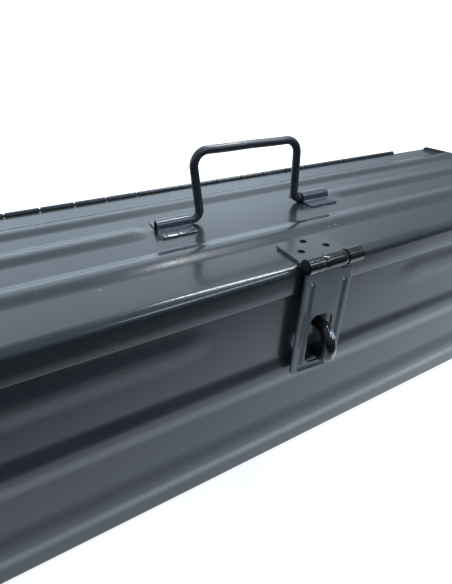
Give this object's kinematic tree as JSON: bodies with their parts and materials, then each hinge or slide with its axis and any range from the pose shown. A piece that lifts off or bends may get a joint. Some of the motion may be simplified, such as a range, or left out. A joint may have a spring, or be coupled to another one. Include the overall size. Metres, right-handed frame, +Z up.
{
  "type": "metal tool box",
  "caption": "Long rectangular sheet-steel tool box with a piano-hinged lid, pressed stiffening beads, a wire bail handle in two saddles, and a hasp over a padlock eye.",
  "frame": {"origin": "on the floor face, centred in the box's length and depth", "axes": "+X along the length (to the right seen from the front), +Y to the back where the hinge is, +Z up; the hasp is on the -Y side"},
  "size_m": [0.58, 0.1867, 0.1987],
  "materials": {
    "body_paint": "semi-gloss enamel",
    "lid_paint": "semi-gloss enamel",
    "saddle_paint": "semi-gloss enamel",
    "hasp_paint": "satin, worn at the edges",
    "handle_black": "gloss black",
    "hinge_steel": "painted over",
    "pin_steel": "bright drawn wire",
    "eye_steel": "chipped paint over bright steel"
  },
  "bodies": {
    "box": {"box_shell": "body_paint", "end_panel_left": "body_paint", "end_panel_right": "body_paint", "hinge_leaf_box": "hinge_steel", "hinge_pin": "pin_steel", "padlock_eye": "eye_steel"},
    "lid": {"lid_cover": "lid_paint", "lid_end_left": "lid_paint", "lid_end_right": "lid_paint", "hinge_leaf_lid": "hinge_steel", "saddle_left": "saddle_paint", "saddle_right": "saddle_paint", "hasp_leaf": "hasp_paint", "hasp_pin": "pin_steel"},
    "handle": {"bail_handle": "handle_black"},
    "hasp": {"hasp_flap": "hasp_paint"}
  },
  "joints": [
    {"name": "lid_hinge", "type": "hinge", "parent": "box", "child": "lid", "pos_m": [0, 0.083, 0.144], "axis": [-1, 0, 0], "range_deg": [0, 200]},
    {"name": "handle_pivot", "type": "hinge", "parent": "lid", "child": "handle", "pos_m": [0, 0.0035, 0.147], "axis": [1, 0, 0], "range_deg": [-84, 84]},
    {"name": "hasp_hinge", "type": "hinge", "parent": "lid", "child": "hasp", "pos_m": [0.0025, -0.089, 0.146], "axis": [-1, 0, 0], "range_deg": [0, 240]}
  ]
}
